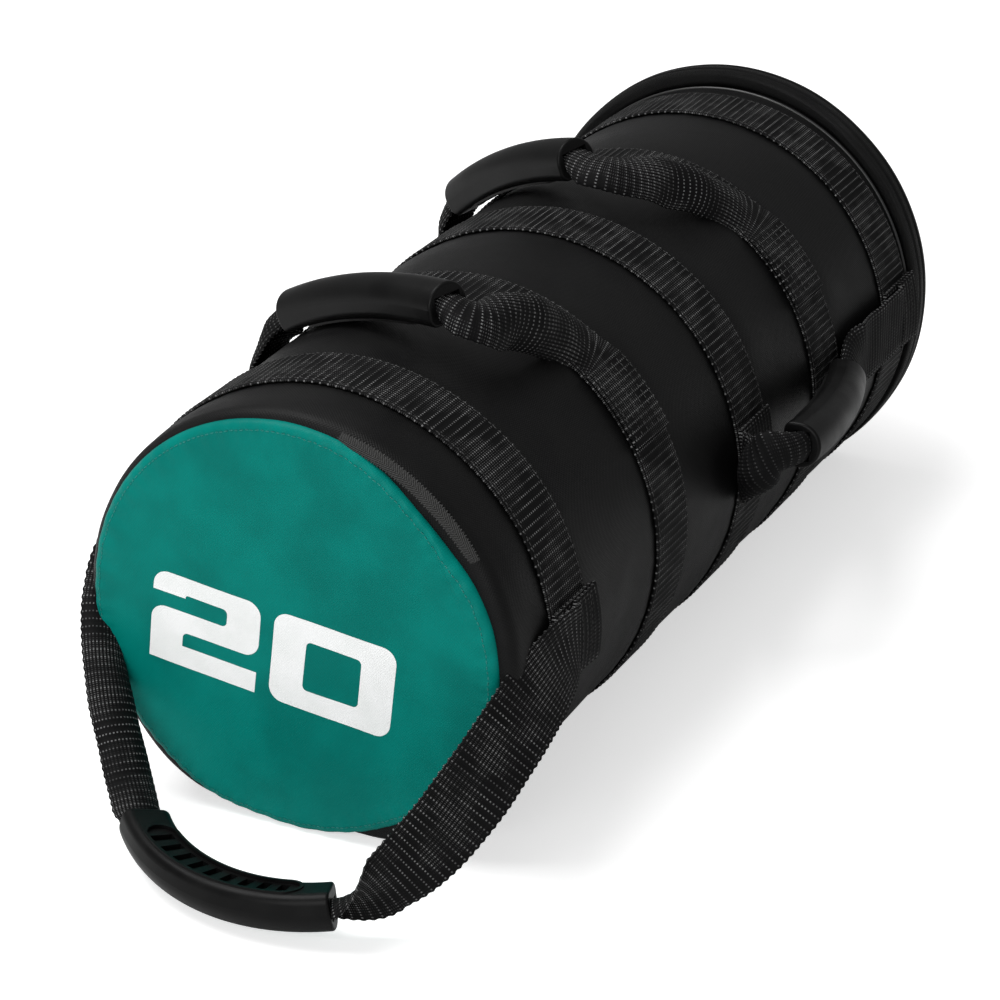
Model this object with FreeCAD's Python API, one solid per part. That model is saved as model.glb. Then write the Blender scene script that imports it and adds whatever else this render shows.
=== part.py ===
import FreeCAD, Part
import math
import os

# A weighted training bag: a filled, padded cylinder that lies on its side, with
# five webbing rings and four webbing handles that have moulded grips.
# Millimetres. X is across the bag, Y along it with the coloured end at -Y, and
# Z is up from the floor that the bag lies on.

# The bag as a whole
BAG_LENGTH = 555.0
SHELL_RADIUS = 117.5
CORNER_TIGHTENING = 55.0
REST_FLAT = 76.0

# Vinyl and sewn edges
SHELL_WALL = 2.0
COVER_WALL = 1.6
PANEL_THICKNESS = 11.0
NEAR_PANEL_INSET = 6.5
FAR_PANEL_INSET = 1.6
BINDING_HEIGHT = 6.0
BINDING_INSET = 1.5
SKIRT_WIDTH = 20.0
SKIRT_THICKNESS = 7.5
SKIRT_SETBACK = 1.5
PIPING_SIZE = 2.0
PIPING_GAP = 1.4

# Filling
FOAM_THICKNESS = 26.0
FOAM_DISC_THICKNESS = 22.0
LINER_WALL = 1.2
FIT_GAP = 0.3

# Rounding of sewn edges, and how far inside a rim an edge may lie to be rounded
SHELL_ROUNDING = 1.4
PANEL_ROUNDING = 4.4
BINDING_ROUNDING = 2.4
SKIRT_ROUNDING = 3.0
PIPING_ROUNDING = 0.7
RIM_MARGIN = 1.0

# Webbing; the middle rings' places are parts of the way from the first to the last
WEBBING_WIDTH = 38.0
WEBBING_THICKNESS = 2.2
FIRST_BAND_FROM_END = 60.0
LAST_BAND_FROM_END = 49.0
MIDDLE_BAND_PLACES = (0.2742, 0.5157, 0.7522)
LAYER_GAP = 0.3
LEG_SECTIONS = 9
LEG_FOLD_START = 0.7

# Moulded grips
GRIP_LENGTH = 130.0
GRIP_WIDTH = 24.5
GRIP_THICKNESS = 21.0
GRIP_CORNER = 5.0
GRIP_CROWN = 11.0
GRIP_END_ROUNDING = 1.5
BORE_WIDTH = 16.0
BORE_HEIGHT = 9.0
RECESS_WIDTH = 15.0
RECESS_DEPTH = 1.0
RECESS_END = 16.0
RECESS_RIM_WIDTH = 1.6
RECESS_RIM_HEIGHT = 0.8
SLOT_COUNT = 9
SLOT_LENGTH = 5.0
SLOT_DEPTH = 2.6
SLOT_WIDTH = 11.5
CORE_TAIL = 3.0

# Top handles
TOP_HANDLE_BANDS = (1, 3)
TOP_LIFT_ANGLE = {"left": -80.0, "right": 41.0}
TOP_BASE_ARC = 20.0
TOP_GRIP_RADIUS = 330.0
TOP_GRIP_ANGLE = {"top_near": -11.0, "top_far": -24.0}
TOP_GRIP_OFFSET = {"top_near": 56.0, "top_far": 44.0}
TOP_GRIP_YAW = {"top_near": 22.0, "top_far": 28.0}
TOP_GRIP_LIFT = {"top_near": 8.0, "top_far": 5.0}
TOP_GRIP_CLEARANCE = 4.4
TOP_LEG_LEAD = {"left": 0.34, "right": 0.43}

# Front handle
FRONT_BAND = 0
FRONT_HINGE_RISE = 3.0
FRONT_REACH = 85.0
FRONT_SHIFT = 1.0
FRONT_YAW = 12.0
FRONT_TILT = 14.0
FRONT_GRIP_TURN = 65.0
FRONT_GRIP_RADIUS = 105.0
FRONT_FLOOR_GAP = 0.5
FRONT_LEG_RUN = {"left": 78.0, "right": 80.0}
FRONT_LEG_BULGE = {"left": 10.0, "right": 5.0}
FRONT_MOUTH_RUN = {"left": 25.0, "right": 45.0}

# Side handle
SIDE_BANDS = (2, 4)
SIDE_HINGE_RISE = 8.0
SIDE_GRIP_RADIUS = 400.0
SIDE_GRIP_SETBACK = 23.0
SIDE_GRIP_RISE = {"near": 27.0, "far": 12.0}
SIDE_STANDOFF = {"near": 37.0, "far": 14.5}
SIDE_LEG_BULGE = 1.0
SIDE_LEG_RUN = {"near": 20.0, "far": 34.0}
SIDE_MOUTH_RUN = {"near": 22.0, "far": 26.0}
FOLD_OVERHANG = 5.0

# Worked out from the values above
NEAR_FACE_Y = -BAG_LENGTH / 2
FAR_FACE_Y = BAG_LENGTH / 2
FIRST_BAND_Y = NEAR_FACE_Y + FIRST_BAND_FROM_END
BAND_SPAN = BAG_LENGTH - FIRST_BAND_FROM_END - LAST_BAND_FROM_END
BAND_CENTRES = [FIRST_BAND_Y + place * BAND_SPAN for place in (0, *MIDDLE_BAND_PLACES, 1)]
SHELL_START_Y = NEAR_FACE_Y + PANEL_THICKNESS
SHELL_END_Y = FAR_FACE_Y - PANEL_THICKNESS
CORNER_RADIUS = SHELL_RADIUS - CORNER_TIGHTENING
CORNER_CENTRE_Z = WEBBING_THICKNESS + CORNER_RADIUS
HALF_FLAT = REST_FLAT / 2
AXIS_Z = CORNER_CENTRE_Z + math.sqrt(CORNER_TIGHTENING ** 2 - HALF_FLAT ** 2)
BAND_RADIUS = SHELL_RADIUS + WEBBING_THICKNESS
LAYER_RADIUS = BAND_RADIUS + LAYER_GAP + WEBBING_THICKNESS / 2
FOLD_RADIUS = LAYER_RADIUS + LAYER_GAP + WEBBING_THICKNESS

AXIS_POINT = FreeCAD.Vector(0, 0, AXIS_Z)
ALONG = FreeCAD.Vector(0, 1, 0)
UP = FreeCAD.Vector(0, 0, 1)

os.makedirs("parts", exist_ok=True)


def vector(x, y, z):
    return FreeCAD.Vector(x, y, z)


def save(name, shape):
    shape.exportStep("parts/" + name + ".step")


# The bag's cross-section: a round top, tighter lower corners and a flat strip below
def outline(offset, y):
    top_radius = SHELL_RADIUS + offset
    corner_radius = CORNER_RADIUS + offset
    lean_x = HALF_FLAT / CORNER_TIGHTENING
    lean_z = (CORNER_CENTRE_Z - AXIS_Z) / CORNER_TIGHTENING
    join_x = HALF_FLAT + lean_x * corner_radius
    join_z = CORNER_CENTRE_Z + lean_z * corner_radius
    half_turn = math.radians(0.5 * (90 + math.degrees(math.atan2(lean_z, lean_x))))
    corner_x = HALF_FLAT + corner_radius * math.sin(half_turn)
    corner_z = CORNER_CENTRE_Z - corner_radius * math.cos(half_turn)
    floor_z = CORNER_CENTRE_Z - corner_radius
    right_join = vector(join_x, y, join_z)
    left_join = vector(-join_x, y, join_z)
    right_foot = vector(HALF_FLAT, y, floor_z)
    left_foot = vector(-HALF_FLAT, y, floor_z)
    top = Part.Arc(right_join, vector(0, y, AXIS_Z + top_radius), left_join)
    left = Part.Arc(left_join, vector(-corner_x, y, corner_z), left_foot)
    right = Part.Arc(right_foot, vector(corner_x, y, corner_z), right_join)
    flat = Part.LineSegment(left_foot, right_foot)
    return Part.Wire([top.toShape(), left.toShape(), flat.toShape(), right.toShape()])


def prism(offset, start_y, end_y):
    face = Part.Face(outline(offset, start_y))
    return face.extrude(vector(0, end_y - start_y, 0))


def ring(inner_offset, outer_offset, start_y, end_y):
    margin = vector(0, end_y - start_y, 0)
    hole = prism(inner_offset, start_y, end_y + margin.y)
    hole.translate(vector(0, -margin.y / 2, 0))
    return prism(outer_offset, start_y, end_y).cut(hole)


# Rounds the edges of a prism's end face that lie outside the given offset
def soften(shape, y, radius, beyond_offset):
    limit = SHELL_RADIUS + beyond_offset
    chosen = []
    for edge in shape.Edges:
        box = edge.BoundBox
        in_plane = abs(box.YMin - y) < 0.01 and abs(box.YMax - y) < 0.01
        reach = max(abs(box.XMax), abs(box.XMin), box.ZMax - AXIS_Z, AXIS_Z - box.ZMin)
        floor_limit = AXIS_Z - CORNER_CENTRE_Z + CORNER_RADIUS + beyond_offset
        if in_plane and (reach > limit or AXIS_Z - box.ZMin > floor_limit):
            chosen.append(edge)
    return shape.makeFillet(radius, chosen)


# Filled soft parts are pressed flat by the floor
def above_floor(shape):
    size = 4 * SHELL_RADIUS
    below = Part.makeBox(size, 2 * BAG_LENGTH, size, vector(-size / 2, -BAG_LENGTH, -size))
    return shape.cut(below)


def point_on_bag(angle, radius, y):
    turn = math.radians(angle)
    return vector(radius * math.sin(turn), y, AXIS_Z + radius * math.cos(turn))


def tangent_on_bag(angle):
    turn = math.radians(angle)
    return vector(math.cos(turn), 0, -math.sin(turn))


def outward_on_bag(angle):
    turn = math.radians(angle)
    return vector(math.sin(turn), 0, math.cos(turn))


# A wedge from the bag's axis, between two angles measured from the top
def wedge(start_angle, end_angle, start_y, end_y):
    reach = 3 * SHELL_RADIUS
    corners = [point_on_bag(start_angle, 0, start_y)]
    steps = 4
    for step in range(steps + 1):
        angle = start_angle + (end_angle - start_angle) * step / steps
        corners.append(point_on_bag(angle, reach, start_y))
    corners.append(corners[0])
    face = Part.Face(Part.makePolygon(corners))
    return face.extrude(vector(0, end_y - start_y, 0))


# Shell, end panels and the sewn edges between them
def make_covers():
    shell = ring(-SHELL_WALL, 0, SHELL_START_Y, SHELL_END_Y)
    save("shell", soften(shell, SHELL_START_Y, SHELL_ROUNDING, -RIM_MARGIN))

    near_edge = -NEAR_PANEL_INSET
    cover = prism(near_edge, NEAR_FACE_Y, SHELL_START_Y - FIT_GAP)
    cover = soften(cover, NEAR_FACE_Y, PANEL_ROUNDING, near_edge - RIM_MARGIN)
    pocket = prism(near_edge - COVER_WALL, NEAR_FACE_Y + COVER_WALL, SHELL_START_Y)
    save("near_panel", cover.cut(pocket))
    pad_edge = near_edge - COVER_WALL - FIT_GAP
    pad_face = NEAR_FACE_Y + COVER_WALL + FIT_GAP
    save("near_panel_foam", prism(pad_edge, pad_face, SHELL_START_Y - FIT_GAP))

    binding_start = SHELL_START_Y - FIT_GAP - BINDING_HEIGHT
    binding = ring(near_edge + FIT_GAP, -BINDING_INSET, binding_start, SHELL_START_Y - FIT_GAP)
    save("near_binding", soften(binding, binding_start, BINDING_ROUNDING, -BINDING_INSET - RIM_MARGIN))

    skirt_end = FAR_FACE_Y - SKIRT_SETBACK
    skirt_start = skirt_end - SKIRT_WIDTH
    skirt = ring(FIT_GAP, SKIRT_THICKNESS, skirt_start, skirt_end)
    skirt = soften(skirt, skirt_start, SKIRT_ROUNDING, SKIRT_THICKNESS - RIM_MARGIN)
    skirt = soften(skirt, skirt_end, SKIRT_ROUNDING, SKIRT_THICKNESS - RIM_MARGIN)
    save("far_skirt", above_floor(skirt))

    piping_end = skirt_start - PIPING_GAP
    piping_start = piping_end - PIPING_SIZE
    piping = ring(FIT_GAP / 2, PIPING_SIZE, piping_start, piping_end)
    save("far_piping", soften(piping, piping_start, PIPING_ROUNDING, PIPING_SIZE - RIM_MARGIN))

    far_edge = -FAR_PANEL_INSET
    far_cover = prism(far_edge, SHELL_END_Y + FIT_GAP, FAR_FACE_Y)
    far_cover = soften(far_cover, FAR_FACE_Y, PANEL_ROUNDING, far_edge - RIM_MARGIN)
    far_pocket = prism(far_edge - COVER_WALL, SHELL_END_Y, FAR_FACE_Y - COVER_WALL)
    save("far_panel", far_cover.cut(far_pocket))
    far_pad_face = FAR_FACE_Y - COVER_WALL - FIT_GAP
    far_pad_edge = far_edge - COVER_WALL - FIT_GAP
    save("far_panel_foam", prism(far_pad_edge, SHELL_END_Y + FIT_GAP, far_pad_face))


# Foam sleeve and discs that shape the bag, and the sewn sack of sand in the middle
def make_filling():
    sleeve_outer = -SHELL_WALL - FIT_GAP
    sleeve_inner = sleeve_outer - FOAM_THICKNESS
    save("foam_sleeve", ring(sleeve_inner, sleeve_outer, SHELL_START_Y, SHELL_END_Y))
    disc_offset = sleeve_inner - FIT_GAP
    near_disc_end = SHELL_START_Y + FOAM_DISC_THICKNESS
    far_disc_start = SHELL_END_Y - FOAM_DISC_THICKNESS
    save("foam_disc_near", prism(disc_offset, SHELL_START_Y, near_disc_end))
    save("foam_disc_far", prism(disc_offset, far_disc_start, SHELL_END_Y))
    sack_start = near_disc_end + FIT_GAP
    sack_end = far_disc_start - FIT_GAP
    sack = prism(disc_offset, sack_start, sack_end)
    room = prism(disc_offset - LINER_WALL, sack_start + LINER_WALL, sack_end - LINER_WALL)
    save("inner_sack", sack.cut(room))
    fill_offset = disc_offset - LINER_WALL - FIT_GAP
    fill_start = sack_start + LINER_WALL + FIT_GAP
    fill_end = sack_end - LINER_WALL - FIT_GAP
    save("sand_fill", prism(fill_offset, fill_start, fill_end))


def make_bands():
    for number, centre in enumerate(BAND_CENTRES, start=1):
        start = centre - WEBBING_WIDTH / 2
        band = ring(0, WEBBING_THICKNESS, start, start + WEBBING_WIDTH)
        save("band_%d" % number, band)


# One moulded grip section in the plane X = 0, its flat side towards the bending axis
def grip_section(radius):
    half = GRIP_WIDTH / 2
    low = radius - GRIP_THICKNESS / 2
    high = radius + GRIP_THICKNESS / 2
    shoulder = high - GRIP_CROWN
    corner = GRIP_CORNER
    cut = corner * (1 - math.sqrt(0.5))
    left_shoulder = vector(0, -half, shoulder)
    right_shoulder = vector(0, half, shoulder)
    edges = [
        Part.Arc(left_shoulder, vector(0, 0, high), right_shoulder),
        Part.LineSegment(right_shoulder, vector(0, half, low + corner)),
        Part.Arc(
            vector(0, half, low + corner),
            vector(0, half - cut, low + cut),
            vector(0, half - corner, low),
        ),
        Part.LineSegment(vector(0, half - corner, low), vector(0, corner - half, low)),
        Part.Arc(
            vector(0, corner - half, low),
            vector(0, cut - half, low + cut),
            vector(0, -half, low + corner),
        ),
        Part.LineSegment(vector(0, -half, low + corner), left_shoulder),
    ]
    return Part.Face(Part.Wire([edge.toShape() for edge in edges]))


def box_section(width, low, high):
    corners = [
        vector(0, -width / 2, low),
        vector(0, width / 2, low),
        vector(0, width / 2, high),
        vector(0, -width / 2, high),
        vector(0, -width / 2, low),
    ]
    return Part.Face(Part.makePolygon(corners))


# Turns a shape of the grip about its own centre line, then about its bending axis
def turn_and_bend(shape, radius, turn, place_on_arc):
    moved = shape.copy()
    moved.rotate(vector(0, 0, radius), vector(1, 0, 0), turn)
    moved.rotate(vector(0, 0, 0), ALONG, math.degrees(place_on_arc / radius))
    return moved


# Sweeps a section along the grip's arc, between two places on it
def bend(section, radius, turn, start, end):
    sweep = math.degrees((end - start) / radius)
    return turn_and_bend(section, radius, turn, start).revolve(vector(0, 0, 0), ALONG, sweep)


# An oval of a given width on the grip's flat side, bent with it
def bent_oval(radius, turn, half_length, width, low, high):
    straight = half_length - width / 2
    oval = bend(box_section(width, low, high), radius, turn, -straight, straight)
    for side in (-1, 1):
        end = Part.makeCylinder(width / 2, high - low, vector(0, 0, low))
        oval = oval.fuse(turn_and_bend(end, radius, turn, side * straight))
    return oval


# A moulded grip bent to a radius about the Y axis, with finger slots in a rimmed oval on its
# flat side, which faces the bending axis or is turned from it
def make_grip(radius, turn=0.0):
    half = GRIP_LENGTH / 2
    grip = bend(grip_section(radius), radius, turn, -half, half)
    ends = [face for face in grip.Faces if isinstance(face.Surface, Part.Plane) and face.Area > 100]
    ends = [face for face in ends if abs(face.normalAt(0, 0).y) < 0.1]
    grip = grip.makeFillet(GRIP_END_ROUNDING, [edge for face in ends for edge in face.Edges])
    inner = radius - GRIP_THICKNESS / 2
    oval_half = half - RECESS_END
    rim_low = inner - RECESS_RIM_HEIGHT
    rim_width = RECESS_WIDTH + 2 * RECESS_RIM_WIDTH
    rim_half = oval_half + RECESS_RIM_WIDTH
    floor = inner + RECESS_DEPTH
    grip = grip.fuse(bent_oval(radius, turn, rim_half, rim_width, rim_low, floor))
    tools = [bent_oval(radius, turn, oval_half, RECESS_WIDTH, rim_low - 1, floor)]
    slot_face = box_section(SLOT_WIDTH, inner, floor + SLOT_DEPTH)
    slots_half = oval_half - RECESS_WIDTH / 4
    pitch = 2 * slots_half / SLOT_COUNT
    for number in range(SLOT_COUNT):
        start = -slots_half + pitch * (number + 0.5) - SLOT_LENGTH / 2
        tools.append(bend(slot_face, radius, turn, start, start + SLOT_LENGTH))
    bore_face = box_section(BORE_WIDTH, radius - BORE_HEIGHT / 2, radius + BORE_HEIGHT / 2)
    tools.append(bend(bore_face, radius, turn, -half - 1, half + 1))
    return grip.cut(tools)


# The webbing that runs through the grip, folded to fit its bore
def make_core(radius, turn=0.0):
    width = BORE_WIDTH - 2 * FIT_GAP
    height = BORE_HEIGHT - 2 * FIT_GAP
    half = GRIP_LENGTH / 2 + CORE_TAIL
    face = box_section(width, radius - height / 2, radius + height / 2)
    return bend(face, radius, turn, -half, half)


# Moves a grip from its own frame to the bag: x runs along it, y across, z outwards
def place(shape, origin, x_axis, y_axis, z_axis):
    matrix = FreeCAD.Matrix(
        x_axis.x, y_axis.x, z_axis.x, origin.x,
        x_axis.y, y_axis.y, z_axis.y, origin.y,
        x_axis.z, y_axis.z, z_axis.z, origin.z,
        0, 0, 0, 1,
    )
    moved = shape.copy()
    moved.Placement = FreeCAD.Placement(matrix)
    return moved


# Where the webbing leaves a grip: a point and the direction away from it
def grip_mouth(origin, x_axis, z_axis, radius, side):
    turn = (GRIP_LENGTH / 2 + CORE_TAIL + LAYER_GAP) / radius
    outward = z_axis * math.cos(turn) + x_axis * (side * math.sin(turn))
    leaving = x_axis * (side * math.cos(turn)) - z_axis * math.sin(turn)
    return origin + outward * radius, leaving


# A webbing leg from its anchor to a grip: flat at the anchor, folded at the mouth
def make_leg(start, start_lead, end_lead, end, start_wide, end_wide):
    wires = []
    mouth_width = BORE_WIDTH - 2 * FIT_GAP
    mouth_height = BORE_HEIGHT - 2 * FIT_GAP
    for number in range(LEG_SECTIONS):
        t = number / (LEG_SECTIONS - 1)
        s = 1 - t
        centre = start * s ** 3 + start_lead * (3 * s * s * t)
        centre = centre + end_lead * (3 * s * t * t) + end * t ** 3
        heading = (start_lead - start) * (s * s) + (end_lead - start_lead) * (2 * s * t)
        heading = heading + (end - end_lead) * (t * t)
        heading.normalize()
        turned = t * t * (3 - 2 * t)
        wide = start_wide * (1 - turned) + end_wide * turned
        wide = wide - heading * wide.dot(heading)
        wide.normalize()
        thick = heading.cross(wide)
        fold = max(0.0, (t - LEG_FOLD_START) / (1 - LEG_FOLD_START))
        width = WEBBING_WIDTH + (mouth_width - WEBBING_WIDTH) * fold
        height = WEBBING_THICKNESS + (mouth_height - WEBBING_THICKNESS) * fold
        across = wide * (width / 2)
        through = thick * (height / 2)
        corners = [
            centre + across + through,
            centre - across + through,
            centre - across - through,
            centre + across - through,
            centre + across + through,
        ]
        wires.append(Part.makePolygon(corners))
    return Part.makeLoft(wires, True, True)


# Two handles across the bag, each on its own ring, lying over towards the near end
def make_top_handles():
    radius = TOP_GRIP_RADIUS
    for name, band in zip(("top_near", "top_far"), TOP_HANDLE_BANDS):
        band_y = BAND_CENTRES[band]
        angle = TOP_GRIP_ANGLE[name]
        yaw = math.radians(TOP_GRIP_YAW[name])
        lift = math.radians(TOP_GRIP_LIFT[name])
        outward = outward_on_bag(angle)
        level = tangent_on_bag(angle) * math.cos(yaw) - ALONG * math.sin(yaw)
        x_axis = level * math.cos(lift) + outward * math.sin(lift)
        z_axis = outward * math.cos(lift) - level * math.sin(lift)
        y_axis = z_axis.cross(x_axis)
        height = SHELL_RADIUS + TOP_GRIP_CLEARANCE + RECESS_RIM_HEIGHT + GRIP_THICKNESS / 2
        middle = point_on_bag(angle, height, band_y - TOP_GRIP_OFFSET[name])
        origin = middle - z_axis * radius
        save(name + "_grip", place(make_grip(radius), origin, x_axis, y_axis, z_axis))
        save(name + "_webbing_core", place(make_core(radius), origin, x_axis, y_axis, z_axis))
        for side, word in ((-1, "left"), (1, "right")):
            lift_angle = TOP_LIFT_ANGLE[word]
            gap_angle = math.degrees(LAYER_GAP / LAYER_RADIUS)
            base_start = lift_angle + side * gap_angle
            base_end = base_start + side * TOP_BASE_ARC
            start_y = band_y - WEBBING_WIDTH / 2
            layer = ring(
                WEBBING_THICKNESS + LAYER_GAP,
                2 * WEBBING_THICKNESS + LAYER_GAP,
                start_y,
                start_y + WEBBING_WIDTH,
            )
            low = min(base_start, base_end)
            high = max(base_start, base_end)
            base = layer.common(wedge(low, high, start_y - 1, start_y + WEBBING_WIDTH + 1))
            save("%s_base_%s" % (name, word), base)

            start = point_on_bag(lift_angle, LAYER_RADIUS, band_y)
            mouth, leaving = grip_mouth(origin, x_axis, z_axis, radius, side)
            lead = (mouth - start).Length * TOP_LEG_LEAD[word]
            start_lead = start - tangent_on_bag(lift_angle) * (side * lead)
            end_lead = mouth + leaving * lead
            leg = make_leg(start, start_lead, end_lead, mouth, ALONG, ALONG)
            save("%s_leg_%s" % (name, word), leg)


# A strap end that lies on a ring, folds over beyond its edge and comes back on top
def make_fold(angle, fold_y, under_end_y, over_end_y):
    direction = 1 if fold_y > under_end_y else -1
    under_low = LAYER_RADIUS - WEBBING_THICKNESS / 2
    over_high = FOLD_RADIUS + WEBBING_THICKNESS / 2
    under_high = under_low + WEBBING_THICKNESS
    over_low = over_high - WEBBING_THICKNESS
    turn_radius = (over_high - under_low) / 2
    middle = (over_high + under_low) / 2
    inner_radius = (over_low - under_high) / 2
    turn_y = fold_y - direction * turn_radius

    def spot(radius, y):
        return vector(0, y, radius)

    edges = [
        Part.LineSegment(spot(under_low, under_end_y), spot(under_low, turn_y)),
        Part.Arc(spot(under_low, turn_y), spot(middle, fold_y), spot(over_high, turn_y)),
        Part.LineSegment(spot(over_high, turn_y), spot(over_high, over_end_y)),
        Part.LineSegment(spot(over_high, over_end_y), spot(over_low, over_end_y)),
        Part.LineSegment(spot(over_low, over_end_y), spot(over_low, turn_y)),
        Part.Arc(
            spot(over_low, turn_y),
            spot(middle, turn_y + direction * inner_radius),
            spot(under_high, turn_y),
        ),
        Part.LineSegment(spot(under_high, turn_y), spot(under_high, under_end_y)),
        Part.LineSegment(spot(under_high, under_end_y), spot(under_low, under_end_y)),
    ]
    face = Part.Face(Part.Wire([edge.toShape() for edge in edges]))
    return turn_about_bag(face, angle)


# Revolves a section drawn in radius and Y about the bag's axis, one webbing width wide
def turn_about_bag(face, angle):
    half_angle = math.degrees(WEBBING_WIDTH / 2 / FOLD_RADIUS)
    turned = face.copy()
    turned.rotate(vector(0, 0, 0), ALONG, angle - half_angle)
    turned.translate(AXIS_POINT)
    return turned.revolve(AXIS_POINT, ALONG, 2 * half_angle)


# The handle at the near end: anchored on both sides of the first ring, grip on the floor
def make_front_handle():
    band_y = BAND_CENTRES[FRONT_BAND]
    rise_angle = math.degrees(math.asin(FRONT_HINGE_RISE / FOLD_RADIUS))
    tilt = math.radians(FRONT_TILT)
    yaw = math.radians(FRONT_YAW)
    lean = tilt + math.radians(FRONT_GRIP_TURN)
    rest = GRIP_WIDTH / 2 * abs(math.cos(lean)) + GRIP_THICKNESS / 2 * abs(math.sin(lean))
    middle = vector(FRONT_SHIFT, NEAR_FACE_Y - FRONT_REACH, rest + FRONT_FLOOR_GAP)
    x_axis = vector(math.cos(yaw), -math.sin(yaw), 0)
    level = vector(-math.sin(yaw), -math.cos(yaw), 0)
    z_axis = level * math.cos(tilt) - UP * math.sin(tilt)
    y_axis = z_axis.cross(x_axis)
    origin = middle - z_axis * FRONT_GRIP_RADIUS
    grip = make_grip(FRONT_GRIP_RADIUS, FRONT_GRIP_TURN)
    core = make_core(FRONT_GRIP_RADIUS, FRONT_GRIP_TURN)
    save("front_grip", place(grip, origin, x_axis, y_axis, z_axis))
    save("front_webbing_core", place(core, origin, x_axis, y_axis, z_axis))
    turn = math.radians(FRONT_GRIP_TURN)
    mouth_wide = y_axis * math.cos(turn) + z_axis * math.sin(turn)
    for side, word in ((-1, "left"), (1, "right")):
        angle = side * (90 - rise_angle)
        fold_y = band_y + WEBBING_WIDTH / 2 + FOLD_OVERHANG
        under_end_y = band_y - WEBBING_WIDTH / 2
        fold = make_fold(angle, fold_y, under_end_y, band_y)
        save("front_anchor_" + word, fold)
        start = point_on_bag(angle, FOLD_RADIUS, band_y - LAYER_GAP)
        mouth, leaving = grip_mouth(origin, x_axis, z_axis, FRONT_GRIP_RADIUS, side)
        start_lead = start + vector(side * FRONT_LEG_BULGE[word], -FRONT_LEG_RUN[word], 0)
        end_lead = mouth + leaving * FRONT_MOUTH_RUN[word]
        leg = make_leg(start, start_lead, end_lead, mouth, UP, mouth_wide)
        save("front_leg_" + word, leg)


# The handle along the right side, between the third and the fifth ring
def make_side_handle():
    near_y = BAND_CENTRES[SIDE_BANDS[0]]
    far_y = BAND_CENTRES[SIDE_BANDS[1]]
    hinge_z = AXIS_Z + SIDE_HINGE_RISE
    angle = 90 - math.degrees(math.asin(SIDE_HINGE_RISE / FOLD_RADIUS))
    near_x = SHELL_RADIUS + SIDE_STANDOFF["near"]
    far_x = SHELL_RADIUS + SIDE_STANDOFF["far"]
    near_z = AXIS_Z + SIDE_GRIP_RISE["near"]
    far_z = AXIS_Z + SIDE_GRIP_RISE["far"]
    chord = 2 * SIDE_GRIP_RADIUS * math.sin(GRIP_LENGTH / 2 / SIDE_GRIP_RADIUS)
    run = math.sqrt(chord ** 2 - (near_x - far_x) ** 2 - (near_z - far_z) ** 2)
    near_end = vector(near_x, near_y - SIDE_GRIP_SETBACK, near_z)
    far_end = vector(far_x, near_end.y + run, far_z)
    x_axis = (far_end - near_end).normalize()
    z_axis = x_axis.cross(UP).normalize()
    y_axis = z_axis.cross(x_axis)
    depth = math.sqrt(SIDE_GRIP_RADIUS ** 2 - (chord / 2) ** 2)
    origin = (near_end + far_end) * 0.5 - z_axis * depth
    save("side_grip", place(make_grip(SIDE_GRIP_RADIUS), origin, x_axis, y_axis, z_axis))
    save("side_webbing_core", place(make_core(SIDE_GRIP_RADIUS), origin, x_axis, y_axis, z_axis))

    fold_y = far_y + WEBBING_WIDTH / 2 + FOLD_OVERHANG
    far_fold = make_fold(angle, fold_y, far_y - WEBBING_WIDTH / 2, far_y)
    save("side_anchor_far", far_fold)
    mouth, leaving = grip_mouth(origin, x_axis, z_axis, SIDE_GRIP_RADIUS, 1)
    start = point_on_bag(angle, FOLD_RADIUS, far_y - LAYER_GAP)
    start_lead = start + vector(SIDE_LEG_BULGE, -SIDE_LEG_RUN["far"], 0)
    end_lead = mouth + leaving * SIDE_MOUTH_RUN["far"]
    save("side_leg_far", make_leg(start, start_lead, end_lead, mouth, UP, UP))

    patch_start = near_y - WEBBING_WIDTH / 2
    patch_end = near_y + WEBBING_WIDTH / 2
    low = LAYER_RADIUS - WEBBING_THICKNESS / 2
    high = LAYER_RADIUS + WEBBING_THICKNESS / 2
    patch = Part.Face(Part.makePolygon([
        vector(0, patch_start, low),
        vector(0, patch_end, low),
        vector(0, patch_end, high),
        vector(0, patch_start, high),
        vector(0, patch_start, low),
    ]))
    save("side_anchor_near", turn_about_bag(patch, angle))
    mouth, leaving = grip_mouth(origin, x_axis, z_axis, SIDE_GRIP_RADIUS, -1)
    start = point_on_bag(angle, LAYER_RADIUS, patch_start - LAYER_GAP)
    start_lead = start + vector(SIDE_LEG_BULGE, -SIDE_LEG_RUN["near"], 0)
    end_lead = mouth + leaving * SIDE_MOUTH_RUN["near"]
    save("side_leg_near", make_leg(start, start_lead, end_lead, mouth, UP, UP))


make_covers()
make_filling()
make_bands()
make_top_handles()
make_front_handle()
make_side_handle()
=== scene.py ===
"""The looks of a weighted training bag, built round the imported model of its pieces."""
import math

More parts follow.
